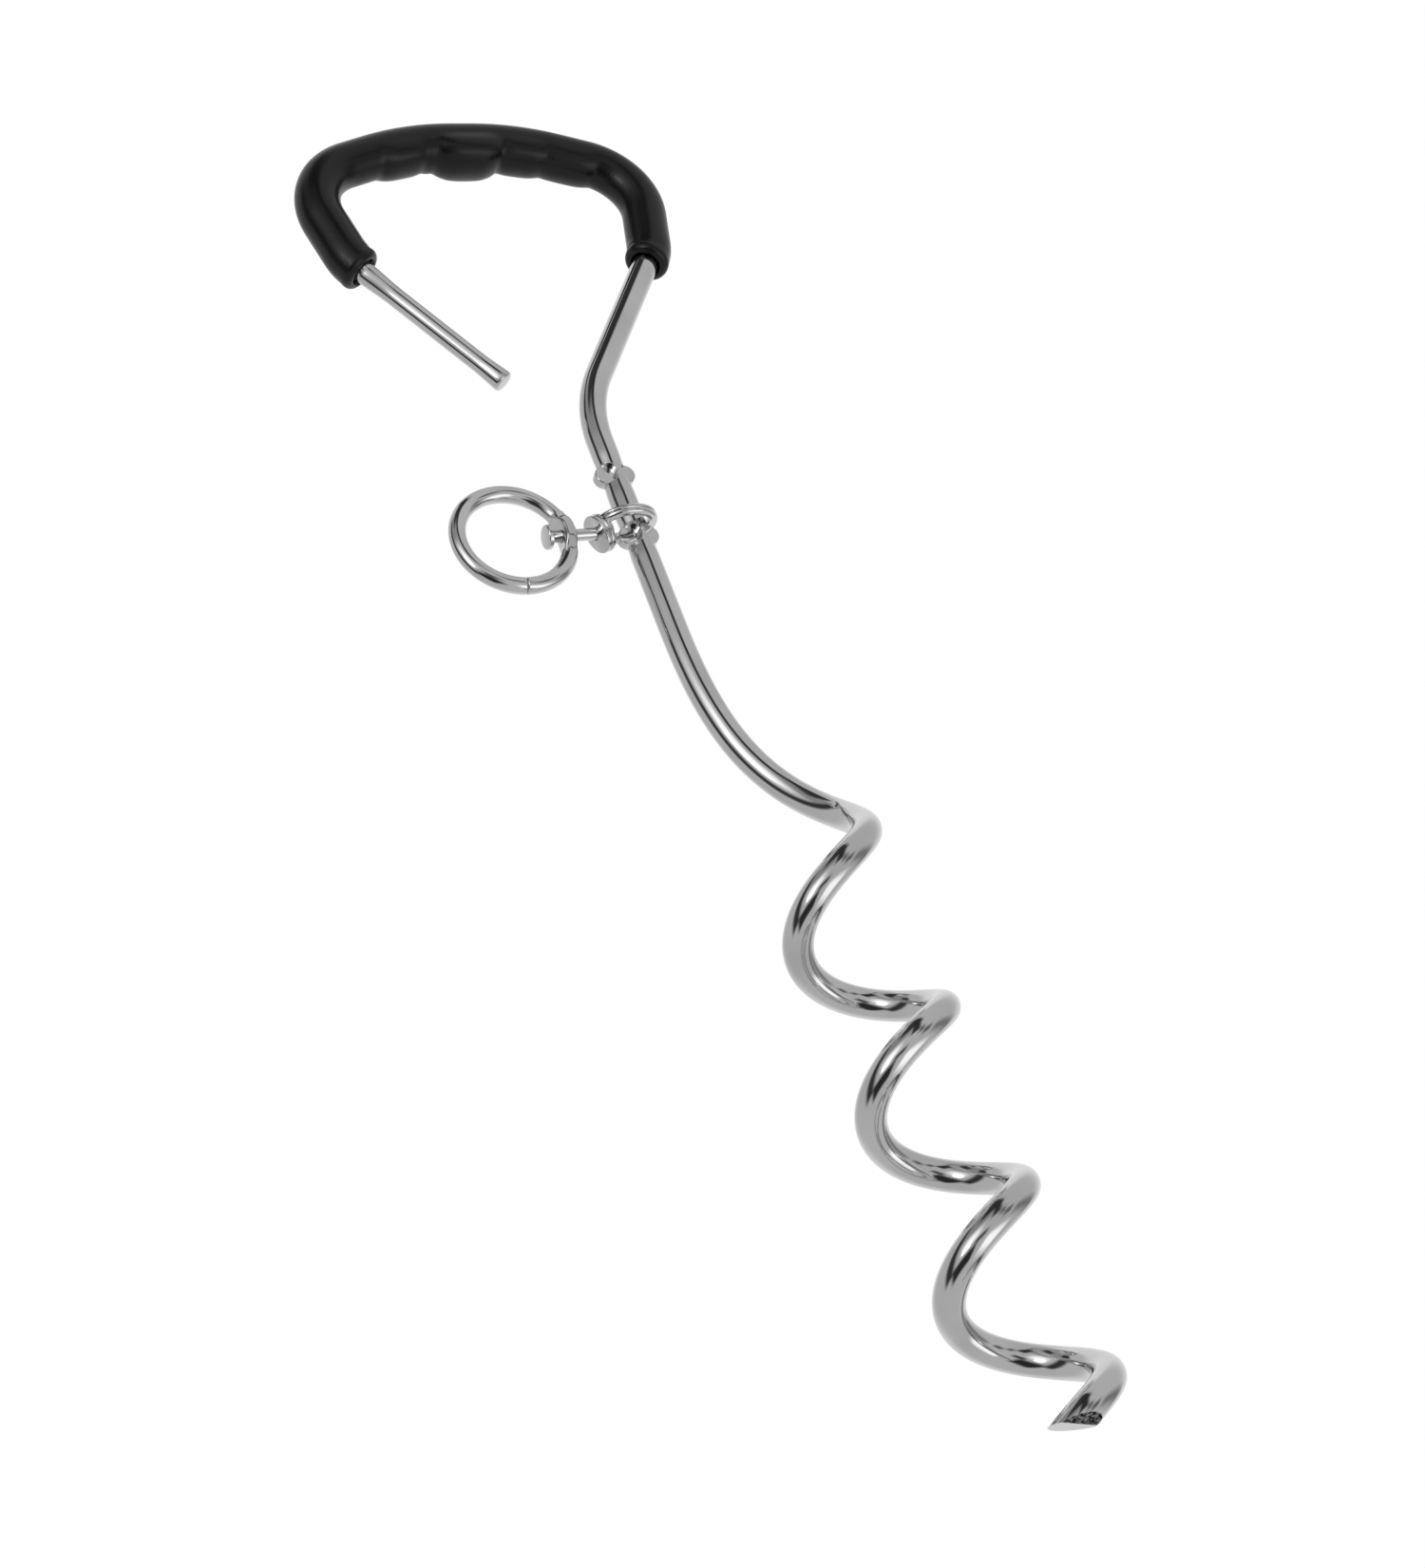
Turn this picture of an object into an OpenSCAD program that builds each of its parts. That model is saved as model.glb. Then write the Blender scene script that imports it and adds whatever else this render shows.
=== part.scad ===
// Spiral ground stake with a bent-rod handle, a moulded finger grip and a swivelling tether ring.
// Frame: Z is the straight shaft's axis and points up, Z = 0 is where the shaft starts to curve into
// the spiral, and X points across the handle towards its free leg. Millimetres.

/* [Rod] */
// diameter of the round steel rod that the whole stake is bent from
rod_d = 8; // [6:0.1:10]
// height of the bend where the fixed leg leaves the straight shaft
shaft_h = 78.9; // [70:0.1:100]
// bend radius where the fixed leg leaves the shaft
shaft_bend_r = 45; // [12:1:60]

/* [Handle] */
// how far the handle's centre line sits to the free-leg side of the shaft
handle_shift = 7.65; // [0:0.05:12]
// height of the two lower corners, where each leg meets the side of the bow
side_low_z = 137.5; // [128:0.5:142]
// half width of the bow at those lower corners
side_low_w = 48.1; // [42:0.1:55]
// height of the two upper corners
side_top_z = 170.2; // [166:0.1:182]
// half width of the bow at the upper corners
side_top_w = 55.3; // [50:0.1:64]
// height of the two shallow corners in the crown
crown_z = 183.9; // [183.5:0.1:199]
// half width between the two shallow crown corners
crown_w = 17; // [12:0.5:24]
// bend radius of the lower corners
side_low_r = 20; // [15:1:30]
// bend radius of the upper corners
side_top_r = 20; // [15:0.5:21]
// bend radius of the shallow crown corners
crown_r = 80; // [40:1:85]

/* [Free leg] */
// how far the free leg reaches below the lower corner, along the leg
free_leg_len = 59; // [45:0.5:62]
// diameter of the drawn-down middle of the free leg
neck_d = 5.7; // [5:0.1:5.8]
// diameter where the free leg leaves the grip
neck_root_d = 6.6; // [6:0.1:7]
// diameter of the upset end of the free leg
flare_d = 6.5; // [6:0.1:7.5]
// length over which the end opens out
flare_len = 9; // [5:0.5:12]
// length over which the rod narrows below the grip
neck_len = 12; // [8:0.5:16]
// rounding of the free end's rim
free_end_round = 0.6; // [0.2:0.1:1]

/* [Grip] */
// outside diameter of the moulded grip
grip_d = 13.6; // [12:0.1:17]
// how far the grip runs down each leg below the lower corner
grip_end = 5.5; // [5:0.1:9]
// rounding of the grip's ends
grip_round = 2.6; // [1:0.1:2.8]
// clearance between the grip's bore and the rod
grip_gap = 0.02; // [0.01:0.01:0.05]
// how far the middle finger ridge stands out of the grip
ridge_mid_h = 3.5; // [1.5:0.1:4]
// half length of the middle finger ridge along the grip
ridge_mid_l = 11.5; // [8:0.5:14]
// how far each side finger ridge stands out of the grip
ridge_side_h = 1.5; // [0.5:0.1:2.5]
// half length of each side finger ridge along the grip
ridge_side_l = 8.5; // [6:0.5:11]
// distance from the middle ridge to each side ridge
ridge_pitch = 17.5; // [14:0.5:22]

/* [Stops] */
// height of the lower pair of pressed lugs
stop_low_z = 30; // [28:0.2:31]
// height of the upper pair of pressed lugs
stop_high_z = 52; // [51:0.2:60]
// radius of each pressed lug
stop_r = 3.2; // [2.6:0.1:3.3]
// how far each lug reaches from the shaft's axis
stop_reach = 6.1; // [5.6:0.1:6.4]
// thickness of each pressed lug
stop_t = 3; // [2:0.1:4.5]

/* [Spiral] */
// radius of the spiral's centre line
coil_r = 14.25; // [13:0.05:20]
// rise of the spiral in one turn
coil_pitch = 49.5; // [40:0.5:60]
// full turns of even spiral below the lead-in
coil_turns = 2.78; // [1.5:0.01:3.4]
// length of the lead-in, over which the straight shaft curves into the spiral
lead_len = 108.4; // [90:0.2:125]
// how slowly the lead-in starts to turn
lead_ease = 1.97; // [1.5:0.01:2.5]
// distance from the shaft's axis to the spiral's axis
shaft_off = 17.3; // [14:0.1:20]
// direction of the shaft seen from the spiral's axis
shaft_dir = -75.5; // [-110:0.5:-50]
// lean of the spiral's axis away from the shaft's
coil_lean = 1.46; // [0:0.02:2.5]
// direction of that lean
lean_dir = 132.5; // [90:0.5:180]

/* [Tip] */
// length of the cropped end piece, as a part of a turn
tip_turns = 0.08; // [0.06:0.01:0.12]
// how far the flat cropped face tips forward
tip_face_tilt = 15; // [5:1:25]
// how far the torn face lifts towards the outside
tip_tear_tilt = 25; // [15:1:35]

/* [Collar] */
// thickness of the collar's strap
collar_t = 2.8; // [2.2:0.1:3]
// height of the collar's strap
collar_h = 3.2; // [3.1:0.1:3.5]
// clearance between the shaft and the collar, opposite the pin
collar_gap = 0.35; // [0.3:0.05:1.2]
// how far the strap stands above the pin
collar_rise = 2.7; // [2.6:0.1:3.2]
// roll of the collar about the pin's direction
collar_roll = 9; // [0:0.5:10]
// height of the pin's axis
pin_z = 32.5; // [32:0.1:34]
// distance from the shaft's axis to the inside of the collar's flat lug
lug_x = 9.4; // [9.2:0.1:10.2]
// thickness of the collar's flat lug
lug_t = 2.9; // [2.2:0.1:3.4]
// lean of the flat lug, its top away from the shaft
lug_lean = 18; // [0:1:20]
// half height of the flat lug
lug_half_h = 5.8; // [5.5:0.1:7]
// width of the flat lug
lug_w = 10; // [8:0.1:11]
// room round the pin's inner head where the lug's face is cut flat
lug_relief = 0.3; // [0.2:0.1:0.5]

/* [Pin] */
// diameter of the pin's shank
pin_d = 3.5; // [2.8:0.1:3.8]
// diameter of the two formed heads
pin_head_d = 7; // [6:0.1:8]
// thickness of the outer head
pin_head_t = 1.6; // [1.2:0.1:2]
// thickness of the inner head
pin_seat_t = 1.7; // [1.2:0.1:1.9]
// distance from the shaft's axis to the inside of the outer head
pin_reach = 25.8; // [24.5:0.1:30]
// softening of each head's rim
pin_head_round = 0.5; // [0.2:0.1:0.8]
// running clearance between the pin and each hole, on the radius
pin_gap = 0.1; // [0.05:0.01:0.1]

/* [Ring] */
// diameter of the ring's wire
ring_wire_d = 4.9; // [4.2:0.1:5.6]
// radius of the ring's centre line
ring_r = 16; // [14:0.05:20]
// distance from the shaft's axis to the middle of the ring's pierced flat
ring_x = 20.9; // [19.6:0.1:21.2]
// thickness of the ring's pierced flat
ring_flat_t = 3.4; // [3:0.1:3.8]
// length of the ring's pierced flat
ring_flat_l = 12; // [10:0.5:14]
// width of the ring's pierced flat
ring_flat_w = 8.2; // [7.6:0.1:9]
// how far the pierced flat stands in from the wire's own line
ring_set = 0.15; // [0:0.05:0.4]
// width of the closed butt joint in the ring
ring_seam = 0.2; // [0.1:0.05:0.4]
// wire left joined at the butt joint
ring_seam_land = 0.3; // [0.2:0.1:1]
// place of the butt joint round the ring
ring_seam_dir = -85; // [-120:1:-60]

/* [Show] */
// which piece to draw

/* [Hidden] */
$fn = 96;
side_n = 28;            // sides of the swept spiral's section
lead_n = 44;            // sections in the lead-in
turn_n = 46;            // sections in each turn of the spiral
tip_n = 9;              // sections in the tip
bow_sides = 24;         // sides of the bent rod's and the grip's sections above the shaft
bow_step = 2.2;         // spacing of those sections along a straight
bow_turn = 7;           // spacing of those sections round a bend, in degrees
leg_n = 14;             // steps along the free leg's narrowing and its opening out
mouth_n = 4;            // steps round the grip's rounded ends
tip_spare = 0.12;       // part of a turn past the tip, which its two faces crop away
tool = 40;              // size of the cutting blocks
grip_spare = 0.2;       // straight left between the grip's rounded ends and its last bends
grip_lip = 0.3;         // flat left between the grip's rounded ends and its bore
seat_play = 0.05;       // play between the pin's inner head and the collar's lug
eps = 0.01;

steel = [0.72, 0.72, 0.73];
vinyl = [0.03, 0.03, 0.03];

function unit(v) = v / norm(v);
function ease(t) = let (u = max(0, min(1, t))) u * u * (3 - 2 * u);

// corners of the bent rod above the shaft, as [across, up]
low_a = [handle_shift - side_low_w, side_low_z];
low_b = [handle_shift + side_low_w, side_low_z];
top_a = [handle_shift - side_top_w, side_top_z];
top_b = [handle_shift + side_top_w, side_top_z];
crown_a = [handle_shift - crown_w, crown_z];
crown_b = [handle_shift + crown_w, crown_z];
leg_turn = unit([0, shaft_h] - low_a);
free_dir = unit([2 * handle_shift, shaft_h] - low_b);
// the grip's two ends, on the legs
grip_a = low_a + leg_turn * grip_end;
grip_b = low_b + free_dir * grip_end;
free_end = low_b + free_dir * free_leg_len;
// where the shaft ends and the fixed leg begins
bend_deg = acos(unit(low_a - [0, shaft_h]) * [0, 1]);
shaft_top = shaft_h - shaft_bend_r * tan(bend_deg / 2);

// the turn at corner i of a list of corners, and how much of each side its bend radius rad[i] takes
function turn_at(p, i) =
    let (a = unit(p[i] - p[i - 1]), b = unit(p[i + 1] - p[i]))
    [a, b, acos(a * b), sign(a[0] * b[1] - a[1] * b[0])];
function cut_at(p, rad, i) =
    (i == 0 || i == len(p) - 1) ? 0 : rad[i] * tan(turn_at(p, i)[2] / 2);

// turns the handle's drawing plane upright
module upright() {
    rotate([90, 0, 0]) children();
}

bow_corners = [grip_a, low_a, top_a, crown_a, crown_b, top_b, low_b, grip_b];
bow_radii = [0, side_low_r, side_top_r, crown_r, crown_r, side_top_r, side_low_r, 0];

// a place on a bend that starts at from, heading v, and turns by deg to the side way
function arc_place(from, v, way, r, deg) =
    let (side = [-v[1], v[0]] * way, mid = from + side * r)
    [mid - [side[0] * cos(deg * way) - side[1] * sin(deg * way),
            side[0] * sin(deg * way) + side[1] * cos(deg * way)] * r,
     atan2(v[1], v[0]) + deg * way];
// centre line through corners p with bend radii rad, as [place, heading]
function run_through(p, rad, step) = [
    for (i = [0 : len(p) - 2])
        let (v = unit(p[i + 1] - p[i]),
             a = p[i] + v * cut_at(p, rad, i),
             b = p[i + 1] - v * cut_at(p, rad, i + 1),
             n = norm(b - a) < 0.1 ? 0 : ceil(norm(b - a) / step),
             last = i + 1 == len(p) - 1,
             t = last ? [0, 0, 0, 0] : turn_at(p, i + 1),
             m = last ? 0 : max(3, ceil(t[2] / bow_turn)))
            each concat(
                n == 0 ? [] : [for (k = [0 : n - 1]) [a + (b - a) * k / n, atan2(v[1], v[0])]],
                last ? [[b, atan2(v[1], v[0])]]
                     : [for (k = [0 : m - 1]) arc_place(b, v, t[3], rad[i + 1], t[2] * k / m)])
];
// one section of the bow or its grip, bulging inwards by a bump
function round_section(q, heading, r, bump) = [
    for (k = [0 : bow_sides - 1])
        let (a = k * 360 / bow_sides, reach = r + bump * pow(max(0, cos(a)), 1.5))
            [q[0] + reach * cos(a) * sin(heading), reach * sin(a), q[1] - reach * cos(a) * cos(heading)]
];

// radius of the free leg at a distance from the grip
free_run = free_leg_len - grip_end;
function free_r(run) =
    (neck_d + (neck_root_d - neck_d) * (1 - ease(run / neck_len))
            + (flare_d - neck_d) * (1 - ease((free_run - run) / flare_len))) / 2;
rim = free_end_round;
leg_profile = concat(
    [[0, 0]],
    [for (k = [0 : leg_n]) let (run = neck_len * k / leg_n) [free_r(run), run]],
    [for (k = [0 : leg_n])
        let (run = free_run - flare_len + (flare_len - rim) * k / leg_n) [free_r(run), run]],
    [for (a = [30, 60, 90]) [free_r(free_run - rim) - rim * (1 - cos(a)), free_run - rim * (1 - sin(a))]],
    [[0, free_run]]
);

module free_leg() {
    color(steel)
        upright()
            translate([grip_b[0], grip_b[1], 0])
                rotate([0, 0, atan2(free_dir[1], free_dir[0])])
                    rotate([0, 90, 0])
                        rotate_extrude()
                            polygon(leg_profile);
}

// round rod bent through a list of corners; corner i has bend radius rad[i]
module bent_rod(p, rad) {
    loft([for (q = run_through(p, rad, bow_step)) round_section(q[0], q[1], rod_d / 2, 0)], bow_sides);
}

module handle_bow() {
    color(steel) bent_rod(bow_corners, bow_radii);
}

module fixed_leg() {
    color(steel) bent_rod([[0, shaft_top], [0, shaft_h], grip_a], [0, shaft_bend_r, 0]);
}

// one pair of pressed lugs, flattened across the shaft
module lugs(z) {
    for (s = [-1, 1])
        translate([s * (stop_reach - stop_r), 0, z])
            rotate([90, 0, 0])
                cylinder(h = stop_t, r = stop_r, center = true);
}

module shaft() {
    color(steel)
        union() {
            cylinder(h = shaft_top, r = rod_d / 2);
            lugs(stop_low_z);
            lugs(stop_high_z);
        }
}

// centre line of the lead-in and the spiral, d is the depth below Z = 0
sweep_deg = 360 / coil_pitch * lead_len / (lead_ease + 1);
function part_in(d) = max(0, min(1, d / lead_len));
function dir_at(d) =
    shaft_dir - sweep_deg * pow(part_in(d), lead_ease + 1) - 360 / coil_pitch * max(0, d - lead_len);
function off_at(d) =
    shaft_off + (coil_r - shaft_off) * part_in(d) * part_in(d) * (3 - 2 * part_in(d));
function lean_at(d) =
    tan(coil_lean) * (d < 0 ? 0 : d < lead_len ? d * d / (2 * lead_len) : d - lead_len / 2);
function axis_at(d) =
    [-shaft_off * cos(shaft_dir) + lean_at(d) * cos(lean_dir),
     -shaft_off * sin(shaft_dir) + lean_at(d) * sin(lean_dir), -d];
function line_at(d) = axis_at(d) + off_at(d) * [cos(dir_at(d)), sin(dir_at(d)), 0];
function tangent_at(d) = unit(line_at(d + 0.02) - line_at(d - 0.02));
function outward_at(d) =
    let (t = tangent_at(d), e = [cos(dir_at(d)), sin(dir_at(d)), 0])
    unit(e - t * (e * t));
function section_at(d) =
    let (c = line_at(d), t = d < eps ? [0, 0, -1] : tangent_at(d),
         e = d < eps ? [cos(dir_at(0)), sin(dir_at(0)), 0] : outward_at(d), b = cross(t, e))
    [for (k = [0 : side_n - 1]) c + rod_d / 2 * (cos(k * 360 / side_n) * e + sin(k * 360 / side_n) * b)];

// side faces between m + 1 sections of n points each, the first point being at place first
function side_faces(m, n, first = 0, inward = false) = [
    for (i = [0 : m - 1]) for (k = [0 : n - 1])
        let (a = first + i * n + k, b = first + i * n + (k + 1) % n, c = a + n, d = b + n)
            each (inward ? [[a, b, c], [b, d, c]] : [[a, c, b], [b, c, d]])
];
// a solid over sections of n points each
module loft(rings, n) {
    m = len(rings) - 1;
    polyhedron(
        points = [for (r = rings) each r],
        faces = concat(
            [[for (k = [0 : n - 1]) k]],
            side_faces(m, n),
            [[for (k = [n - 1 : -1 : 0]) m * n + k]]
        )
    );
}

module swept_rod(d0, d1, n) {
    loft([for (i = [0 : n]) section_at(d0 + (d1 - d0) * i / n)], side_n);
}

coil_end = lead_len + coil_turns * coil_pitch;
tip_end = coil_end + tip_turns * coil_pitch;

module lead_in() {
    color(steel) swept_rod(0, lead_len, lead_n);
}

module coil() {
    color(steel) swept_rod(lead_len, coil_end, round(turn_n * coil_turns));
}

// the space below a face through the tip, tipped by an angle towards a direction
module below(tilt, towards) {
    translate(line_at(tip_end))
        rotate([0, 0, towards])
            rotate([0, -tilt, 0])
                translate([-tool / 2, -tool / 2, -tool])
                    cube(tool);
}

module tip() {
    color(steel)
        difference() {
            swept_rod(coil_end, tip_end + tip_spare * coil_pitch, tip_n);
            below(tip_face_tilt, dir_at(tip_end) - 90);
            below(tip_tear_tilt, dir_at(tip_end));
        }
}

// height of the finger ridges at a place along the crown
function bell(u) = abs(u) < 1 ? (1 + cos(180 * u)) / 2 : 0;
function ridge_at(q) =
    q[1] < side_top_z ? 0 :
    let (x = q[0] - handle_shift)
    max(ridge_mid_h * bell(x / ridge_mid_l),
        ridge_side_h * bell((x - ridge_pitch) / ridge_side_l),
        ridge_side_h * bell((x + ridge_pitch) / ridge_side_l));

// where the last bend ends on each leg
mouth_a = low_a + leg_turn * cut_at(bow_corners, bow_radii, 1);
mouth_b = low_b + free_dir * cut_at(bow_corners, bow_radii, 6);
grip_corners = [mouth_a, low_a, top_a, crown_a, crown_b, top_b, low_b, mouth_b];
// rounding that the straight at each end and the grip's wall leave room for
grip_soft = min(
    grip_round,
    norm(grip_a - mouth_a) - grip_spare,
    norm(grip_b - mouth_b) - grip_spare,
    (grip_d - rod_d) / 2 - grip_lip
);
// rounded end of the grip, from place end into the grip along v, as [place, heading, outer radius]
function mouth_ring(end, v, heading, k) =
    let (a = 90 * k / mouth_n)
    [end + v * grip_soft * (1 - cos(a)), heading, grip_d / 2 - grip_soft * (1 - sin(a))];
grip_rings = concat(
    [for (k = [0 : mouth_n]) mouth_ring(grip_a, -leg_turn, atan2(-leg_turn[1], -leg_turn[0]), k)],
    [for (q = run_through(grip_corners, bow_radii, bow_step)) [q[0], q[1], grip_d / 2]],
    [for (k = [mouth_n : -1 : 0]) mouth_ring(grip_b, -free_dir, atan2(free_dir[1], free_dir[0]), k)]
);

module grip() {
    n = bow_sides;
    m = len(grip_rings);
    bore = rod_d / 2 + grip_gap;
    last = (m - 1) * n;
    color(vinyl)
        polyhedron(
            points = concat(
                [for (g = grip_rings) each round_section(g[0], g[1], g[2], ridge_at(g[0]))],
                [for (g = grip_rings) each round_section(g[0], g[1], bore, 0)]
            ),
            faces = concat(
                side_faces(m - 1, n),
                side_faces(m - 1, n, m * n, true),
                [for (k = [0 : n - 1])
                    let (a = k, b = (k + 1) % n, c = m * n)
                        each [[a, b, c + b], [a, c + b, c + a]]],
                [for (k = [0 : n - 1])
                    let (a = last + k, b = last + (k + 1) % n, c = m * n)
                        each [[a, c + b, b], [a, c + a, c + b]]]
            )
        );
}

// the collar's centre line passes over the middle of its lug, and clears the shaft on the other side
lug_mid_x = lug_x + lug_t / 2;
collar_r = (lug_mid_x + rod_d / 2 + collar_gap + collar_t / 2) / 2;
collar_mid_x = lug_mid_x - collar_r;
collar_mid_z = pin_z + collar_rise;
// half of the strap's section, from its inner to its outer side: straight faces and round edges
strap_edge = collar_t / 2;
strap_n = 6;
strap = concat(
    [for (k = [0 : strap_n]) let (a = 180 * k / strap_n)
        [collar_r - strap_edge * cos(a), (collar_h - collar_t) / 2 + strap_edge * sin(a)]],
    [for (k = [0 : strap_n]) let (a = 180 * k / strap_n)
        [collar_r + strap_edge * cos(a), -(collar_h - collar_t) / 2 - strap_edge * sin(a)]]
);

// turns a shape's own Z axis to lie along the pin, at a distance from the shaft's axis
module along_pin(x) {
    translate([x, 0, pin_z])
        rotate([0, 90, 0])
            children();
}

// turns a shape drawn square to the pin into the lean of the lug
module leaning() {
    translate([lug_mid_x, 0, pin_z])
        rotate([0, lug_lean, 0])
            children();
}

module collar() {
    color(steel)
        difference() {
            union() {
                translate([collar_mid_x, 0, collar_mid_z])
                    rotate([-collar_roll, 0, 0])
                        rotate_extrude()
                            polygon(strap);
                leaning()
                    intersection() {
                        rotate([0, 90, 0])
                            cylinder(h = lug_t, r = lug_half_h, center = true);
                        cube([tool, lug_w, tool], center = true);
                    }
            }
            // pin hole
            along_pin(lug_x - tool / 2)
                cylinder(h = tool, r = pin_d / 2 + pin_gap);
            // seat of the pin's inner head, and the flat outside of the lug
            along_pin(lug_x - collar_h)
                cylinder(h = collar_h, r = pin_head_d / 2 + lug_relief);
            leaning()
                translate([lug_t / 2, -lug_w / 2, -lug_half_h])
                    cube([collar_t, lug_w, 2 * lug_half_h]);
        }
}

// a formed head of thickness t, its rim softened on the far side
module head(t) {
    rotate_extrude()
        polygon([
            [0, 0], [pin_head_d / 2, 0], [pin_head_d / 2, t - pin_head_round],
            [pin_head_d / 2 - pin_head_round, t], [0, t]
        ]);
}

module pin() {
    color(steel)
        union() {
            along_pin(lug_x - pin_seat_t)
                cylinder(h = pin_reach - lug_x + pin_seat_t + eps, r = pin_d / 2);
            along_pin(lug_x - seat_play)
                mirror([0, 0, 1])
                    head(pin_seat_t);
            along_pin(pin_reach)
                head(pin_head_t);
        }
}

// the ring's middle
ring_mid_x = ring_x + ring_r - ring_set;

module ring() {
    color(steel)
        difference() {
            union() {
                translate([ring_mid_x, 0, pin_z])
                    rotate([90, 0, 0])
                        rotate_extrude()
                            translate([ring_r, 0])
                                circle(d = ring_wire_d);
                along_pin(ring_x - ring_flat_t / 2)
                    cylinder(h = ring_flat_t, d = ring_flat_w);
            }
            // the flats on both sides of the pierced place
            for (x = [ring_x + ring_flat_t / 2, ring_x - ring_flat_t / 2 - ring_wire_d])
                translate([x, -ring_flat_w, pin_z - ring_flat_l / 2])
                    cube([ring_wire_d, 2 * ring_flat_w, ring_flat_l]);
            along_pin(ring_x - ring_wire_d)
                cylinder(h = 2 * ring_wire_d, r = pin_d / 2 + pin_gap);
            // the closed butt joint, a fine slit through the wire
            translate([ring_mid_x, 0, pin_z])
                rotate([0, -ring_seam_dir, 0])
                    translate([ring_r, 0, 0])
                        cube([ring_wire_d - 2 * ring_seam_land, 2 * ring_wire_d, ring_seam], center = true);
        }
}

free_leg();
handle_bow();
fixed_leg();
shaft();
lead_in();
coil();
tip();
grip();
collar();
pin();
ring();
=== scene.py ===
import math

import bmesh
import bpy
from mathutils import Matrix, Vector, noise


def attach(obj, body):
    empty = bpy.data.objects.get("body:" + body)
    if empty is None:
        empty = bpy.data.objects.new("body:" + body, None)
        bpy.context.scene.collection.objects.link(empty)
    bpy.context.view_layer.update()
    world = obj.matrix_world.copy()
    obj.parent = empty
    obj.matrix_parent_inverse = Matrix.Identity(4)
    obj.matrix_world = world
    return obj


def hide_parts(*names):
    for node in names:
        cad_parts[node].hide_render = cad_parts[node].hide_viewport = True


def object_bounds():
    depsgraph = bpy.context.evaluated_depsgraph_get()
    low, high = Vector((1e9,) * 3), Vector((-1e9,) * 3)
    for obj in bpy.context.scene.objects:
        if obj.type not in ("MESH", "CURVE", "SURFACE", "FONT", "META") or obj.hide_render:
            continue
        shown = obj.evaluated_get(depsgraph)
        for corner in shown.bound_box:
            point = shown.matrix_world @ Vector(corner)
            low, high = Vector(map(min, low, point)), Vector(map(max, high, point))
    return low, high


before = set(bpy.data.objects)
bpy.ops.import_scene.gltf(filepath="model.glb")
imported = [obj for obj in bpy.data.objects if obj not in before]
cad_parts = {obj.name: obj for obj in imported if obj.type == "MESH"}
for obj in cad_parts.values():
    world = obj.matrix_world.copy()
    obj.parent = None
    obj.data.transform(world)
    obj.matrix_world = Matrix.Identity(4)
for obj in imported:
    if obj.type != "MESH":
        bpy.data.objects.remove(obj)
cad_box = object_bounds()

# Every size below is in millimetres, and a mesh is scaled to metres as it is made.
MM = 0.001

# rod
ROD_R = 4.0
SHAFT_H = 78.9
SHAFT_BEND_R = 45.0

# handle, drawn upright in the plane through the shaft
HANDLE_SHIFT = 7.65
SIDE_LOW = (48.1, 137.5, 20.0)
SIDE_TOP = (55.3, 170.2, 20.0)
CROWN = (17.0, 183.9, 80.0)
GRIP_END = 5.5

# free leg
FREE_LEG_LEN = 59.0
NECK_R = 2.85
NECK_ROOT_R = 3.35
FLARE_R = 3.25

# pressed lugs on the shaft
LUG_HEIGHTS = (52.0, 30.0)
LUG_R = 3.2
LUG_REACH = 6.1
LUG_HALF_T = 1.5

# spiral
COIL_R = 14.25
COIL_PITCH = 49.5
COIL_TURNS = 2.78
LEAD_LEN = 108.4
LEAD_EASE = 1.97
SHAFT_OFF = 17.3
SHAFT_DIR = math.radians(-75.5)
COIL_LEAN = math.radians(1.46)
LEAN_DIR = math.radians(132.5)

# tip: how far past the spiral it runs, and the tilt and drop of its cropped face and of its torn one
TIP_TURNS = 0.08
TIP_FACE_TILT = math.radians(15.0)
TIP_FACE_DROP = 0.7
TIP_TEAR_TILT = math.radians(25.0)
TIP_TEAR_DROP = 1.2
TIP_TEAR_DEPTH = 0.3

# grip, with the finger pads on its inner side as (place across the handle, half length, height)
GRIP_R = 6.8
MOUTH_RUN = 4.2
FINGER_PADS = [
    (29.5, 8.5, 1.6),
    (19.0, 4.6, 1.2),
    (7.2, 12.0, 4.0),
    (-10.5, 9.0, 1.9),
    (-25.0, 9.5, 1.2),
]
PAD_BLEND_POWER = 6

# collar, pin and ring
PIN_Z = 32.5
STRAP_T = 2.8
STRAP_H = 3.2
COLLAR_GAP = 0.35
COLLAR_RISE = 2.7
COLLAR_ROLL = math.radians(9.0)
LUG_FACE = 9.4
LUG_PLATE_T = 2.9
PLATE_HALF_H = 5.8
PLATE_HALF_W = 5.0
PLATE_LEAN = math.radians(18.0)
PIN_R = 1.75
PIN_PLAY = 0.05
PIN_HEAD_R = 3.5
PIN_HEAD_T = 1.6
PIN_SEAT_T = 1.7
PIN_REACH = 25.8
HOLE_R = 1.85
RING_R = 16.0
RING_WIRE_R = 2.45
RING_FLAT_X = 20.9
RING_FLAT_HALF_T = 1.7
RING_FLAT_HALF_W = 4.1
RING_FLAT_HALF_L = 6.0
RING_SET = 0.15
RING_MID_X = RING_FLAT_X + RING_R - RING_SET
RING_SEAM_DIR = math.radians(-85.0)
RING_SEAM_HALF_GAP = 0.11 / RING_R


def blend(t):
    """0 to 1 with soft ends."""
    t = max(0.0, min(1.0, t))
    return t * t * (3.0 - 2.0 * t)


# ---------------------------------------------------------------- centre lines

def upright(across, up):
    return Vector((across, 0.0, up))


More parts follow.
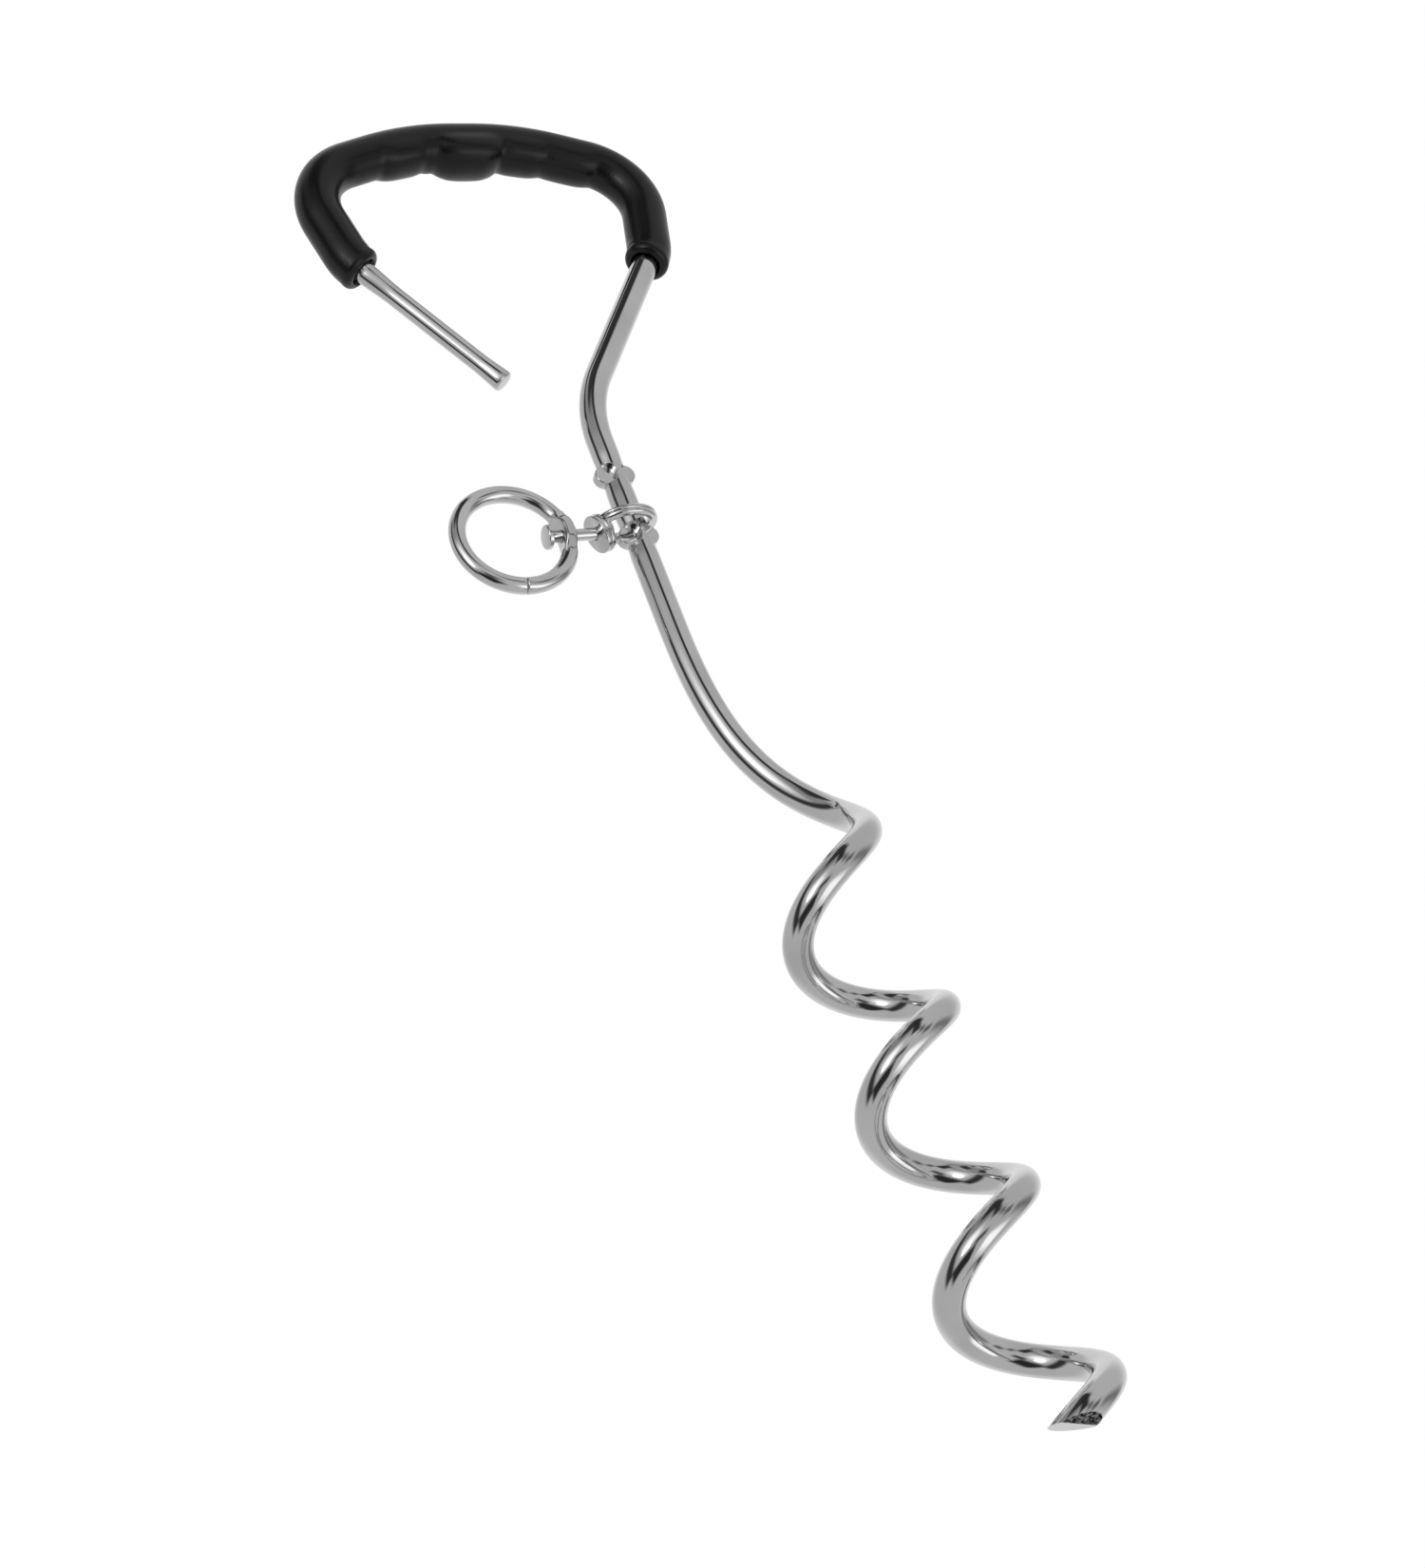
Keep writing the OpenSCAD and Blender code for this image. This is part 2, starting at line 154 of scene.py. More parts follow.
LOW_A = upright(HANDLE_SHIFT - SIDE_LOW[0], SIDE_LOW[1])
LOW_B = upright(HANDLE_SHIFT + SIDE_LOW[0], SIDE_LOW[1])
TOP_A = upright(HANDLE_SHIFT - SIDE_TOP[0], SIDE_TOP[1])
TOP_B = upright(HANDLE_SHIFT + SIDE_TOP[0], SIDE_TOP[1])
CROWN_A = upright(HANDLE_SHIFT - CROWN[0], CROWN[1])
CROWN_B = upright(HANDLE_SHIFT + CROWN[0], CROWN[1])
BEND = upright(0.0, SHAFT_H)
BEND_TURN = (LOW_A - BEND).angle(upright(0.0, 1.0))
BEND_START = SHAFT_H - SHAFT_BEND_R * math.tan(BEND_TURN / 2.0)
SHAFT_TOP = BEND_START - 0.5
FIXED_DIR = (BEND - LOW_A).normalized()
FREE_DIR = (upright(2.0 * HANDLE_SHIFT, SHAFT_H) - LOW_B).normalized()
GRIP_A = LOW_A + FIXED_DIR * GRIP_END
GRIP_B = LOW_B + FREE_DIR * GRIP_END
FREE_END = LOW_B + FREE_DIR * FREE_LEG_LEN
BOW_BENDS = [
    (LOW_B, SIDE_LOW[2]),
    (TOP_B, SIDE_TOP[2]),
    (CROWN_B, CROWN[2]),
    (CROWN_A, CROWN[2]),
    (TOP_A, SIDE_TOP[2]),
    (LOW_A, SIDE_LOW[2]),
]


def straight(start, end, step):
    """Points from start up to, but not at, end."""
    count = max(1, round((end - start).length / step))
    return [start.lerp(end, k / count) for k in range(count)]


def bent_line(start, bends, end, step, turn_step):
    """A line from start to end that turns on a true arc at each bend, given as (corner, radius)."""
    points = []
    here = start
    for k, (corner, radius) in enumerate(bends):
        beyond = bends[k + 1][0] if k + 1 < len(bends) else end
        come = (corner - here).normalized()
        go = (beyond - corner).normalized()
        turn = come.angle(go)
        bend_from = corner - come * radius * math.tan(turn / 2.0)
        axis = come.cross(go).normalized()
        middle = bend_from + axis.cross(come) * radius
        if (bend_from - here).dot(come) > 0.05:
            points += straight(here, bend_from, step)
        count = max(3, math.ceil(turn / turn_step))
        for n in range(count):
            spoke = Matrix.Rotation(turn * n / count, 3, axis) @ (bend_from - middle)
            points.append(middle + spoke)
        here = middle + Matrix.Rotation(turn, 3, axis) @ (bend_from - middle)
    return points + straight(here, end, step) + [end.copy()]


def spiral_heading(depth):
    """Which way the rod lies from the spiral's axis: it turns slowly along the lead-in, then evenly."""
    part = max(0.0, min(1.0, depth / LEAD_LEN))
    turn_rate = 2.0 * math.pi / COIL_PITCH
    eased = turn_rate * LEAD_LEN / (LEAD_EASE + 1.0) * part ** (LEAD_EASE + 1.0)
    even = turn_rate * max(0.0, depth - LEAD_LEN)
    return SHAFT_DIR - eased - even


def spiral_point(depth):
    """The rod's centre line below the shaft: it leaves the shaft slowly and closes into an even spiral."""
    heading = spiral_heading(depth)
    off = SHAFT_OFF + (COIL_R - SHAFT_OFF) * blend(depth / LEAD_LEN)
    if depth < LEAD_LEN:
        lean = math.tan(COIL_LEAN) * max(0.0, depth) ** 2 / (2.0 * LEAD_LEN)
    else:
        lean = math.tan(COIL_LEAN) * (depth - LEAD_LEN / 2.0)
    return Vector((
        -SHAFT_OFF * math.cos(SHAFT_DIR) + lean * math.cos(LEAN_DIR) + off * math.cos(heading),
        -SHAFT_OFF * math.sin(SHAFT_DIR) + lean * math.sin(LEAN_DIR) + off * math.sin(heading),
        -depth,
    ))


TIP_DEPTH = LEAD_LEN + (COIL_TURNS + TIP_TURNS) * COIL_PITCH


# ---------------------------------------------------------------- sections of the rod

def circle(radius):
    return lambda angle: (radius * math.cos(angle), radius * math.sin(angle))


def squared(angle, power):
    """A point of an outline between a circle, power 2, and a square with soft corners, higher powers."""
    c = math.cos(angle)
    s = math.sin(angle)
    reach = (abs(c) ** power + abs(s) ** power) ** (-1.0 / power)
    return c * reach, s * reach


def shaft_radius(height):
    """The shaft is drawn in a little where the lugs are pressed out of it."""
    drawn_in = 0.3
    waist_half = 1.0
    fade = 7.0
    away = min(abs(height - z) for z in LUG_HEIGHTS)
    return ROD_R - drawn_in * (1.0 - blend((away - waist_half) / fade))


def free_leg_radius(from_end):
    """The free leg is drawn down in the middle and opens towards its end."""
    root_run = 12.0
    flare_run = 9.0
    flare_land = 0.5
    to_grip = FREE_LEG_LEN - GRIP_END - from_end
    radius = NECK_R
    radius += (NECK_ROOT_R - NECK_R) * (1.0 - blend(to_grip / root_run))
    radius += (FLARE_R - NECK_R) * (1.0 - blend((from_end - flare_land) / flare_run))
    return radius


def free_leg_stations():
    """The free leg from the rounded rim of its end to the grip."""
    stations = []
    rim = 0.75
    rim_steps = 6
    leg_steps = 36
    for k in range(rim_steps + 1):
        a = k / rim_steps * math.pi / 2.0
        radius = free_leg_radius(rim) - rim + rim * math.sin(a)
        stations.append((FREE_END - FREE_DIR * rim * (1.0 - math.cos(a)), circle(radius)))
    run = FREE_LEG_LEN - GRIP_END - rim
    for k in range(1, leg_steps):
        from_end = rim + run * k / leg_steps
        stations.append((FREE_END - FREE_DIR * from_end, circle(free_leg_radius(from_end))))
    return stations


def handle_stations():
    """The bow inside the grip, thinner where it meets the free leg, then the fixed leg to the shaft's top."""
    step = 4.0
    root_run = 2.0
    stations = []
    for point in bent_line(GRIP_B, BOW_BENDS, GRIP_A, step, math.radians(3.0)):
        into = blend((point - GRIP_B).length / root_run)
        stations.append((point, circle(NECK_ROOT_R + (ROD_R - NECK_ROOT_R) * into)))
    leg = bent_line(GRIP_A, [(BEND, SHAFT_BEND_R)], upright(0.0, SHAFT_TOP), step, math.radians(2.5))
    return stations + [(point, circle(ROD_R)) for point in leg[1:]]


def rod_line():
    """Every section of the rod from the free end to past the tip, as (centre, section)."""
    stations = free_leg_stations() + handle_stations()
    shaft_steps = round(BEND_START)
    for k in range(1, shaft_steps):
        z = SHAFT_TOP * (1.0 - k / shaft_steps)
        stations.append((upright(0.0, z), circle(shaft_radius(z))))
    spiral_steps = 380
    spare_turns = 0.12
    depth_end = TIP_DEPTH + spare_turns * COIL_PITCH
    for k in range(spiral_steps + 1):
        stations.append((spiral_point(depth_end * k / spiral_steps), circle(ROD_R)))
    return stations


# ---------------------------------------------------------------- mesh making

def grained():
    """An empty bmesh, and the layer that keeps where each vertex lies on the unrolled bar."""
    bm = bmesh.new()
    return bm, bm.verts.layers.float_vector.new("grain")


def join_rings(bm, rings, loop=False):
    pairs = list(zip(rings, rings[1:]))
    if loop:
        pairs.append((rings[-1], rings[0]))
    for ring, following in pairs:
        count = len(ring)
        for n in range(count):
            m = (n + 1) % count
            bm.faces.new((ring[n], following[n], following[m], ring[m]))


def close_ends(bm, rings):
    """A flat cap over the first ring and over the last."""
    bm.faces.new(rings[0])
    bm.faces.new(list(reversed(rings[-1])))


def skin(stations, sides, first_side):
    """A closed bmesh over sections along a line. The side direction is carried along the line without
    twisting, so that drawing marks follow every bend."""
    bm, grain = grained()
    centres = [centre for centre, _ in stations]
    side = first_side
    run = 0.0
    rings = []
    for k, (centre, section) in enumerate(stations):
        before = centres[max(0, k - 1)]
        after = centres[min(len(centres) - 1, k + 1)]
        tangent = (after - before).normalized()
        side = (side - tangent * side.dot(tangent)).normalized()
        other = tangent.cross(side)
        run += (centre - before).length
        ring = []
        for n in range(sides):
            across, through = section(2.0 * math.pi * n / sides)
            vert = bm.verts.new((centre + side * across + other * through) * MM)
            vert[grain] = Vector((across, through, run)) * MM
            ring.append(vert)
        rings.append(ring)
    join_rings(bm, rings)
    close_ends(bm, rings)
    return bm


def piece(name, bm, body, materials, replaces=(), crease=40.0):
    """The finished object: smooth shaded, riding on its body and standing for its CAD nodes."""
    bmesh.ops.recalc_face_normals(bm, faces=bm.faces)
    mesh = bpy.data.meshes.new(name)
    bm.to_mesh(mesh)
    bm.free()
    for material in materials:
        mesh.materials.append(material)
    mesh.shade_smooth()
    mesh.set_sharp_from_angle(angle=math.radians(crease))
    obj = bpy.data.objects.new(name, mesh)
    bpy.context.scene.collection.objects.link(obj)
    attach(obj, body)
    if replaces:
        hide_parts(*replaces)
    return obj


def turned(profile, sides, origin, turn=Matrix.Identity(3)):
    """Rings turned about the pin's axis from an (along, radius) profile; turn points them another way."""
    bm, grain = grained()
    rings = []
    for along, radius in profile:
        ring = []
        for n in range(sides):
            a = 2.0 * math.pi * n / sides
            across = radius * math.sin(a)
            up = radius * math.cos(a)
            vert = bm.verts.new((origin + turn @ Vector((along, across, up))) * MM)
            vert[grain] = Vector((across, up, along)) * MM
            ring.append(vert)
        rings.append(ring)
    return bm, rings


def rounded(points, radius, steps=4):
    """A closed outline with each corner cut to a small arc, which never takes half of a side."""
    out = []
    count = len(points)
    for k in range(count):
        before = Vector(points[k - 1])
        here = Vector(points[k])
        after = Vector(points[(k + 1) % count])
        reach = min(radius, (before - here).length * 0.45, (after - here).length * 0.45)
        a = here + (before - here).normalized() * reach
        b = here + (after - here).normalized() * reach
        for n in range(steps + 1):
            t = n / steps
            out.append(a.lerp(here, t).lerp(here.lerp(b, t), t))
    return out


def capped(profile, sides, origin, turn=Matrix.Identity(3)):
    """A closed turned solid."""
    bm, rings = turned(profile, sides, origin, turn)
    join_rings(bm, rings)
    close_ends(bm, rings)
    bmesh.ops.recalc_face_normals(bm, faces=bm.faces)
    return bm


def carve(obj, tools, crease=40.0):
    """Cuts each tool, given as (solid, operation), out of the object or joins it on."""
    helpers = []
    for bm, operation in tools:
        mesh = bpy.data.meshes.new("tool")
        bm.to_mesh(mesh)
        bm.free()
        helper = bpy.data.objects.new("tool", mesh)
        bpy.context.scene.collection.objects.link(helper)
        step = obj.modifiers.new("step", "BOOLEAN")
        step.object = helper
        step.operation = operation
        step.solver = "EXACT"
        helpers.append(helper)
    bpy.context.view_layer.update()
    graph = bpy.context.evaluated_depsgraph_get()
    solid = bpy.data.meshes.new_from_object(obj.evaluated_get(graph))
    obj.modifiers.clear()
    obj.data = solid
    solid.shade_smooth()
    solid.set_sharp_from_angle(angle=math.radians(crease))
    for helper in helpers:
        bpy.data.objects.remove(helper)


# ---------------------------------------------------------------- materials

def grey(tone):
    return (tone, tone, tone, 1.0)


def node_tree(material):
    material.use_nodes = True
    tree = material.node_tree
    tree.nodes.clear()
    return tree


def add(tree, kind, label=None, **settings):
    node = tree.nodes.new(kind)
    if label:
        node.label = label
    for key, value in settings.items():
        setattr(node, key, value)
    return node


def plug(tree, value, socket):
    """Links an output, or sets a plain value."""
    if isinstance(value, bpy.types.NodeSocket):
        tree.links.new(value, socket)
    else:
        socket.default_value = value


def maths(tree, operation, a, b=None, clamp=False):
    node = add(tree, "ShaderNodeMath", operation=operation, use_clamp=clamp)
    plug(tree, a, node.inputs[0])
    if b is not None:
        plug(tree, b, node.inputs[1])
    return node.outputs[0]


def remap(tree, value, low, high, to_low, to_high):
    node = add(tree, "ShaderNodeMapRange", interpolation_type="SMOOTHSTEP")
    plug(tree, value, node.inputs["Value"])
    for name, number in (("From Min", low), ("From Max", high), ("To Min", to_low), ("To Max", to_high)):
        plug(tree, number, node.inputs[name])
    return node.outputs["Result"]


def fractal(tree, place, scale, detail=3.0, stretch=(1.0, 1.0, 1.0)):
    """Noise over a place; stretch scales each axis of it."""
    scaled = add(tree, "ShaderNodeVectorMath", operation="MULTIPLY")
    plug(tree, place, scaled.inputs[0])
    scaled.inputs[1].default_value = stretch
    node = add(tree, "ShaderNodeTexNoise")
    plug(tree, scaled.outputs[0], node.inputs["Vector"])
    plug(tree, scale, node.inputs["Scale"])
    node.inputs["Detail"].default_value = detail
    return node.outputs["Fac"]


def new_group(name, inputs, outputs):
    group = bpy.data.node_groups.new(name, "ShaderNodeTree")
    for label, kind, value in inputs:
        socket = group.interface.new_socket(name=label, in_out="INPUT", socket_type=kind)
        if value is not None:
            socket.default_value = value
    for label, kind in outputs:
        group.interface.new_socket(name=label, in_out="OUTPUT", socket_type=kind)
    entry = group.nodes.new("NodeGroupInput")
    leave = group.nodes.new("NodeGroupOutput")
    return group, entry, leave


def use_group(tree, group, **values):
    node = add(tree, "ShaderNodeGroup", node_tree=group)
    for name, value in values.items():
        plug(tree, value, node.inputs[name.replace("_", " ")])
    return node


def handling_marks_group():
    """Fingerprint haze and fine scratches, for any surface that is handled."""
    group, entry, leave = new_group(
        "handling_marks",
        [
            ("Place", "NodeSocketVector", None),
            ("Haze Scale", "NodeSocketFloat", 60.0),
            ("Scratch Scale", "NodeSocketFloat", 900.0),
        ],
        [("Haze", "NodeSocketFloat"), ("Scratches", "NodeSocketFloat")],
    )
    place = entry.outputs["Place"]
    haze = fractal(group, place, entry.outputs["Haze Scale"], 4.0)
    haze = remap(group, haze, 0.45, 0.7, 0.0, 1.0)
    fine = fractal(group, place, entry.outputs["Scratch Scale"], 2.0, (1.0, 1.0, 0.05))
    fine = remap(group, fine, 0.62, 0.72, 0.0, 1.0)
    group.links.new(haze, leave.inputs["Haze"])
    group.links.new(fine, leave.inputs["Scratches"])
    return group


def plating_group():
    """Tone and polish of bright plated steel: cloudy patches and lengthwise drawing marks."""
    group, entry, leave = new_group(
        "plating",
        [
            ("Place", "NodeSocketVector", None),
            ("Bright", "NodeSocketColor", grey(0.8)),
            ("Dull", "NodeSocketColor", grey(0.6)),
            ("Polish", "NodeSocketFloat", 0.06),
            ("Wear", "NodeSocketFloat", 0.1),
        ],
        [
            ("Color", "NodeSocketColor"),
            ("Roughness", "NodeSocketFloat"),
            ("Height", "NodeSocketFloat"),
        ],
    )
    place = entry.outputs["Place"]
    cloud = remap(group, fractal(group, place, 45.0, 4.0), 0.35, 0.7, 0.0, 1.0)
    drawn = fractal(group, place, 1400.0, 2.0, (1.0, 1.0, 0.012))
    waves = fractal(group, place, 110.0, 1.0, (1.0, 1.0, 0.35))
    mix = add(group, "ShaderNodeMix", data_type="RGBA")
    group.links.new(cloud, mix.inputs["Factor"])
    group.links.new(entry.outputs["Bright"], mix.inputs[6])
    group.links.new(entry.outputs["Dull"], mix.inputs[7])
    group.links.new(mix.outputs[2], leave.inputs["Color"])
    worn = maths(group, "MULTIPLY", cloud, entry.outputs["Wear"])
    fine = maths(group, "MULTIPLY", maths(group, "SUBTRACT", drawn, 0.5), entry.outputs["Wear"])
    rough = maths(group, "ADD", maths(group, "ADD", worn, fine), entry.outputs["Polish"], True)
    group.links.new(rough, leave.inputs["Roughness"])
    height = maths(group, "ADD", maths(group, "MULTIPLY", drawn, 0.03), waves)
    group.links.new(height, leave.inputs["Height"])
    return group


HANDLING = handling_marks_group()
PLATING = plating_group()


def surface(tree, metallic, color, roughness, normal=None):
    shader = add(tree, "ShaderNodeBsdfPrincipled")
    shader.inputs["Metallic"].default_value = metallic
    plug(tree, color, shader.inputs["Base Color"])
    plug(tree, roughness, shader.inputs["Roughness"])
    if normal is not None:
        tree.links.new(normal, shader.inputs["Normal"])
    out = add(tree, "ShaderNodeOutputMaterial")
    tree.links.new(shader.outputs[0], out.inputs["Surface"])
    return shader


def bump(tree, height, distance, strength=1.0):
    node = add(tree, "ShaderNodeBump")
    plug(tree, height, node.inputs["Height"])
    node.inputs["Distance"].default_value = distance
    node.inputs["Strength"].default_value = strength
    return node.outputs["Normal"]


def plated_steel(name, bright, dull, polish, wear, ripple):
    material = bpy.data.materials.new(name)
    tree = node_tree(material)
    place = add(tree, "ShaderNodeAttribute", attribute_name="grain").outputs["Vector"]
    plate = use_group(tree, PLATING, Place=place, Bright=bright, Dull=dull, Polish=polish, Wear=wear)
    marks = use_group(tree, HANDLING, Place=place)
    haze = maths(tree, "MULTIPLY", marks.outputs["Haze"], 0.04)
    scratch = maths(tree, "MULTIPLY", marks.outputs["Scratches"], 0.05)
    rough = maths(tree, "ADD", maths(tree, "ADD", plate.outputs["Roughness"], haze), scratch, True)
    normal = bump(tree, plate.outputs["Height"], ripple)
    surface(tree, 1.0, plate.outputs["Color"], rough, normal)
    return material


def torn_steel():
    material = bpy.data.materials.new("torn_steel")
    tree = node_tree(material)
    place = add(tree, "ShaderNodeTexCoord").outputs["Object"]
    crumbs = fractal(tree, place, 1300.0, 6.0)
    tone = add(tree, "ShaderNodeValToRGB")
    dark, pale = tone.color_ramp.elements
    dark.position = 0.4
    dark.color = grey(0.01)
    pale.position = 0.62
    pale.color = (0.32, 0.32, 0.33, 1.0)
    tree.links.new(crumbs, tone.inputs["Fac"])
    rough = remap(tree, crumbs, 0.3, 0.7, 0.75, 0.4)
    surface(tree, 1.0, tone.outputs["Color"], rough, bump(tree, crumbs, 0.0004))
    return material


def grip_vinyl():
    material = bpy.data.materials.new("grip_vinyl")
    tree = node_tree(material)
    place = add(tree, "ShaderNodeTexCoord").outputs["Object"]
    marks = use_group(tree, HANDLING, Place=place, Haze_Scale=70.0, Scratch_Scale=700.0)
    pebble = fractal(tree, place, 1500.0, 2.0)
    cloud = fractal(tree, place, 40.0, 3.0)
    tone = add(tree, "ShaderNodeMix", data_type="RGBA")
    tree.links.new(cloud, tone.inputs["Factor"])
    tone.inputs[6].default_value = grey(0.004)
    tone.inputs[7].default_value = grey(0.008)
    rough = remap(tree, cloud, 0.3, 0.7, 0.24, 0.30)
    rough = maths(tree, "ADD", rough, maths(tree, "MULTIPLY", marks.outputs["Haze"], 0.05), True)
    height = maths(tree, "ADD", pebble, maths(tree, "MULTIPLY", marks.outputs["Scratches"], -0.3))
    shader = surface(tree, 0.0, tone.outputs[2], rough, bump(tree, height, 0.00003))
    shader.inputs["Specular IOR Level"].default_value = 0.32
    return material


ROD_STEEL = plated_steel("rod_steel", grey(0.66), grey(0.58), 0.05, 0.05, 0.00006)
FITTING_STEEL = plated_steel("fitting_steel", grey(0.68), grey(0.56), 0.05, 0.05, 0.00004)
TORN_STEEL = torn_steel()
GRIP_VINYL = grip_vinyl()


# ---------------------------------------------------------------- pieces

def crop(bm, near, normal, cut_material):
    """Cuts the rod's end off along a plane and closes the cut with one face, in the material given."""
    point = near * MM
    reach = 16.0 * MM
    faces = [f for f in bm.faces if (f.calc_center_median() - point).length < reach]
    edges = {e for f in faces for e in f.edges}
    verts = {v for f in faces for v in f.verts}
    made = bmesh.ops.bisect_plane(
        bm, geom=[*verts, *edges, *faces], plane_co=point, plane_no=normal, clear_outer=True, dist=1e-7)
    rim = [g for g in made["geom_cut"] if isinstance(g, bmesh.types.BMEdge) and g.is_valid]
    face = bmesh.ops.contextual_create(bm, geom=rim)["faces"]
    for f in face:
        f.material_index = cut_material
    return face


def below_normal(tilt, towards):
    """Outward normal of a face that looks down, tipped by an angle towards a direction."""
    turn = Matrix.Rotation(towards, 3, "Z") @ Matrix.Rotation(-tilt, 3, "Y")
    return turn @ Vector((0.0, 0.0, -1.0))


def inner_edges(faces):
    return list({e for f in faces for e in f.edges if all(g in faces for g in e.link_faces)})


def roughen(bm, faces, depth):
    """Breaks a flat cut into a crumbled, torn surface inside its rim."""
    made = bmesh.ops.triangulate(bm, faces=faces)["faces"]
    for _ in range(3):
        out = bmesh.ops.subdivide_edges(bm, edges=inner_edges(made), cuts=1, use_grid_fill=True)
        fresh = {f for f in out["geom"] if isinstance(f, bmesh.types.BMFace)}
        made = list(fresh | {f for f in made if f.is_valid})
    inner = {v for f in made for v in f.verts if all(g in made for g in v.link_faces)}
    normal = made[0].normal.copy()
    for v in inner:
        v.co += normal * depth * MM * noise.fractal(v.co * 900.0, 1.0, 2.0, 4)


def make_rod():
    """The whole bent rod, cropped and torn at its tip, with the lugs pressed out of its shaft."""
    sides = 64
    bm = skin(rod_line(), sides, Vector((0.0, 1.0, 0.0)).cross(FREE_DIR))
    bmesh.ops.recalc_face_normals(bm, faces=bm.faces)
    tip = spiral_point(TIP_DEPTH)
    heading = spiral_heading(TIP_DEPTH)
    down = below_normal(TIP_FACE_TILT, heading - math.pi / 2.0)
    crop(bm, tip + down * TIP_FACE_DROP, down, 0)
    outward = below_normal(TIP_TEAR_TILT, heading)
    torn = crop(bm, tip + outward * TIP_TEAR_DROP, outward, 1)
    roughen(bm, torn, TIP_TEAR_DEPTH)
    rod = piece(
        "bent_rod", bm, "stake", [ROD_STEEL, TORN_STEEL],
        ("free_leg", "handle_bow", "fixed_leg", "shaft", "lead_in", "coil", "tip"))
    press_lugs(rod)


def ear_profile():
    """Half of a lug's outline, from the middle of one face round its soft rim to the middle of the other."""
    rim = 0.35
    core = 0.4
    arc = [math.pi / 2.0 * k / 4.0 for k in range(5)]
    profile = [(-LUG_HALF_T, core)]
    profile += [(rim - LUG_HALF_T - rim * math.cos(a), LUG_R - rim + rim * math.sin(a)) for a in arc]
    profile += [(LUG_HALF_T - rim + rim * math.sin(a), LUG_R - rim + rim * math.cos(a)) for a in arc]
    return profile + [(LUG_HALF_T, core)]


def punch_profile(way):
    """A punch that comes in from the front or the back: a chamfered face, then walls that open outwards."""
    clear = 0.01
    chamfer = 0.25
    length = 7.0
    draft = 0.8
    return [
        (way * (LUG_HALF_T + clear), LUG_R - chamfer),
        (way * (LUG_HALF_T + chamfer), LUG_R),
        (way * length, LUG_R + draft),
    ]


def press_lugs(rod):
    """Round punches flatten the shaft's sides from front and back, and the metal spreads into round lugs."""
    to_front = Matrix.Rotation(math.radians(90.0), 3, "Z")
    sides = 48
    drop = 0.2
    # the shaft's two sides weren't struck quite alike, so the punches stood at different distances
    bites = ((-1.0, 1.8), (1.0, 0.6))
    lug_x = LUG_REACH - LUG_R
    tools = []
    for z in LUG_HEIGHTS:
        for side, bite in bites:
            middle = Vector((side * (lug_x + bite), 0.0, z - drop))
            for way in (-1.0, 1.0):
                tools.append((capped(punch_profile(way), sides, middle, to_front), "DIFFERENCE"))
    for z in LUG_HEIGHTS:
        for side in (-1.0, 1.0):
            middle = Vector((side * lug_x, 0.0, z))
            tools.append((capped(ear_profile(), sides, middle, to_front), "UNION"))
    carve(rod, tools, 35.0)


def pad_height(point, angle):
    """How far the finger pads stand out at a point of the crown; angle is measured from the inner side."""
    lowest = SIDE_TOP[1] - 3.0
    reach_round = math.radians(86.0)
    fade_round = math.radians(52.0)
    if point.z < lowest:
        return 0.0
    tall = 0.0
    for place, half, height in FINGER_PADS:
        u = abs(point.x - place) / half
        if u < 1.0:
            # flat topped, so neighbouring pads meet in a crease
            bulge = height * (1.0 - u ** 3.0) ** 0.9
            tall = (tall ** PAD_BLEND_POWER + bulge ** PAD_BLEND_POWER) ** (1.0 / PAD_BLEND_POWER)
    away = abs((angle + math.pi) % (2.0 * math.pi) - math.pi)
    return tall * blend((reach_round - away) / fade_round)


def grip_section(point, radius):
    def section(angle):
        reach = radius + pad_height(point, angle)
        return (reach * math.cos(angle), reach * math.sin(angle))
    return section


def mouth(end, inward):
    """The grip's end from the bore outwards, as (centre, section): recess, lip, outer round, slight waist."""
    round_t = 1.9
    round_run = 2.0
    swell = 0.05
    steps = 7
    rings = [(2.4, 4.05), (1.2, 4.1), (0.75, 4.3), (0.4, 4.5), (0.12, 4.62), (0.0, 4.8)]
    for k in range(steps + 1):
        a = k / steps * math.pi / 2.0
        rings.append((round_run * (1.0 - math.cos(a)), GRIP_R + swell - round_t + round_t * math.sin(a)))
    rings += [(2.6, GRIP_R + 0.03), (3.4, GRIP_R - 0.1)]
    return [(end + inward * along, circle(radius)) for along, radius in rings]


def make_grip():
    """The moulded sleeve over the bow, open at both mouths round the rod."""
    step = 1.0
    sides = 72
    line = bent_line(GRIP_B, BOW_BENDS, GRIP_A, step, math.radians(2.5))
    body = [p for p in line if (p - GRIP_A).length > MOUTH_RUN and (p - GRIP_B).length > MOUTH_RUN]
    dense = []
    for a, b in zip(body, body[1:]):
        dense += straight(a, b, step)
    dense.append(body[-1])
    stations = mouth(GRIP_B, -FREE_DIR)
    stations += [(p, grip_section(p, GRIP_R)) for p in dense]
    stations += reversed(mouth(GRIP_A, -FIXED_DIR))
    bm = grip_skin(stations, sides)
    piece("moulded_grip", bm, "stake", [GRIP_VINYL], ("grip",), 60.0)


